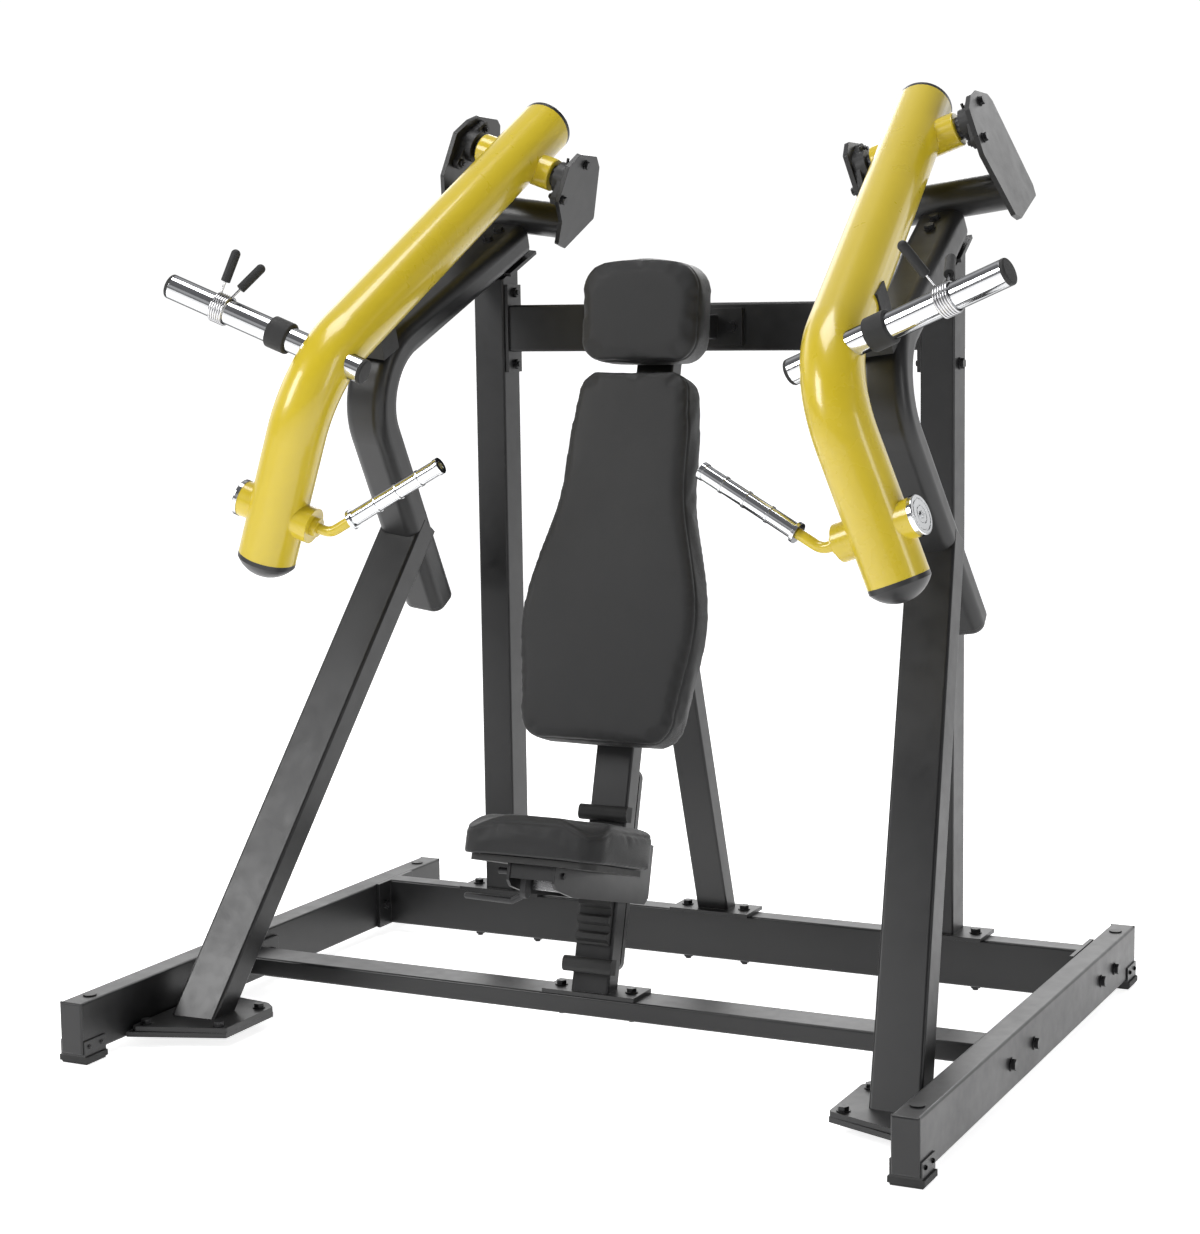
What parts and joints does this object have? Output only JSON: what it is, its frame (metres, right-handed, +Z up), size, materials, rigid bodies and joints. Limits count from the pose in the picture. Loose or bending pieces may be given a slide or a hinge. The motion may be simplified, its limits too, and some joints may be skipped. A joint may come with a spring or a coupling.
{
  "type": "plate-loaded chest press machine",
  "caption": "Plate-loaded chest press with independent swinging arms, weight horns, ringed handles, padded back and head rest and a height-adjustable seat.",
  "frame": {"origin": "centre of the machine's bounding box at floor level, on the mirror plane", "axes": "+Z up, -Y the way the seated user faces, +X towards the machine's right-hand side as seen from the front, X = 0 is the mirror plane of the frame"},
  "size_m": [1.7424, 1.3535, 1.8506],
  "materials": {
    "black_fasteners": "satin black",
    "black_paint": "satin powder coat",
    "black_plastic": "fine grain",
    "black_rubber": "matte",
    "board": "black painted plywood",
    "bright_steel": "zinc plated",
    "cast_black": "painted casting",
    "chrome": "polished",
    "nylon": "smooth",
    "shaft_steel": "black oxide",
    "spring_steel": "drawn wire",
    "upholstery": "vinyl, soft grain",
    "yellow_paint": "gloss paint"
  },
  "bodies": {
    "frame": {"back_board": "board", "back_pad": "upholstery", "bearing_bolts": "black_fasteners", "bearing_housings": "cast_black", "bearing_plates": "black_paint", "bent_tube_caps": "black_plastic", "cross_tubes": "black_paint", "foot_brackets": "black_paint", "frame_bolts": "black_fasteners", "front_cross_beam": "black_paint", "head_board": "board", "head_bracket": "black_paint", "head_pad": "upholstery", "height_rack": "black_plastic", "left_bent_frame_tube": "black_paint", "left_front_leg": "black_paint", "left_side_rail": "black_paint", "left_upright": "black_paint", "post_bumpers": "black_rubber", "post_guide": "black_paint", "rail_end_caps": "black_plastic", "rail_plug_discs": "black_plastic", "rear_cross_beam": "black_paint", "rear_strut": "black_paint", "rest_stop_pads": "black_rubber", "right_bent_frame_tube": "black_paint", "right_front_leg": "black_paint", "right_side_rail": "black_paint", "right_upright": "black_paint", "rubber_feet": "black_rubber", "seat_post": "black_paint", "top_tie": "black_paint", "upper_cross_beam": "black_paint"},
    "right_arm": {"right_arm_tube": "yellow_paint", "right_arm_end_caps": "black_plastic", "right_pivot_shaft": "shaft_steel", "right_weight_horn": "chrome", "right_horn_stops": "black_rubber"},
    "left_arm": {"left_arm_tube": "yellow_paint", "left_arm_end_caps": "black_plastic", "left_pivot_shaft": "shaft_steel", "left_weight_horn": "chrome", "left_horn_stops": "black_rubber"},
    "right_handle": {"right_handle_rod": "yellow_paint", "right_handle_grip": "chrome", "right_hub_disc": "chrome"},
    "left_handle": {"left_handle_rod": "yellow_paint", "left_handle_grip": "chrome", "left_hub_disc": "chrome"},
    "right_collar": {"right_collar_spring": "spring_steel", "right_collar_grips": "black_rubber"},
    "left_collar": {"left_collar_spring": "spring_steel", "left_collar_grips": "black_rubber"},
    "seat": {"seat_carriage": "black_paint", "glide_blocks": "nylon", "seat_board": "board", "seat_pad": "upholstery"},
    "lever": {"seat_lever": "black_paint"},
    "lock": {"lock_bolt": "bright_steel"}
  },
  "joints": [
    {"name": "right_arm_pivot", "type": "hinge", "parent": "frame", "child": "right_arm", "pos_m": [0.45123, 0.4708, 1.72027], "axis": [-0.9426, 0, -0.3338], "range_deg": [0, 50]},
    {"name": "right_handle_swivel", "type": "hinge", "parent": "right_arm", "child": "right_handle", "pos_m": [0.62698, -0.23016, 1.01977], "axis": [-0.9375, 0.0985, -0.3338], "range_deg": [-30, 30]},
    {"name": "right_collar_slide", "type": "slide", "parent": "right_arm", "child": "right_collar", "axis": [0.92, -0.0984, 0.3794], "range_m": [-0.094, 0.12]},
    {"name": "left_arm_pivot", "type": "hinge", "parent": "frame", "child": "left_arm", "pos_m": [-0.45123, 0.4708, 1.72027], "axis": [-0.9426, 0, 0.3338], "range_deg": [0, 50]},
    {"name": "left_handle_swivel", "type": "hinge", "parent": "left_arm", "child": "left_handle", "pos_m": [-0.62698, -0.23016, 1.01977], "axis": [-0.9375, -0.0985, 0.3338], "range_deg": [-30, 30]},
    {"name": "left_collar_slide", "type": "slide", "parent": "left_arm", "child": "left_collar", "axis": [-0.92, -0.0984, 0.3794], "range_m": [-0.094, 0.12]},
    {"name": "seat_height", "type": "slide", "parent": "frame", "child": "seat", "axis": [0, 0.2672, 0.9636], "range_m": [-0.099, 0.033]},
    {"name": "seat_lever", "type": "hinge", "parent": "seat", "child": "lever", "pos_m": [0, -0.34255, 0.37127], "axis": [-1, 0, 0], "range_deg": [0, 20], "stiffness_Nm_per_rad": 1.5, "springref_deg": -20.05},
    {"name": "lock_bolt", "type": "slide", "parent": "seat", "child": "lock", "axis": [0, -0.9636, 0.2672], "range_m": [0, 0.012]}
  ],
  "couplings": [
    {"joint": "lock_bolt", "follows": "seat_lever", "m_per_rad": 0.0315}
  ]
}
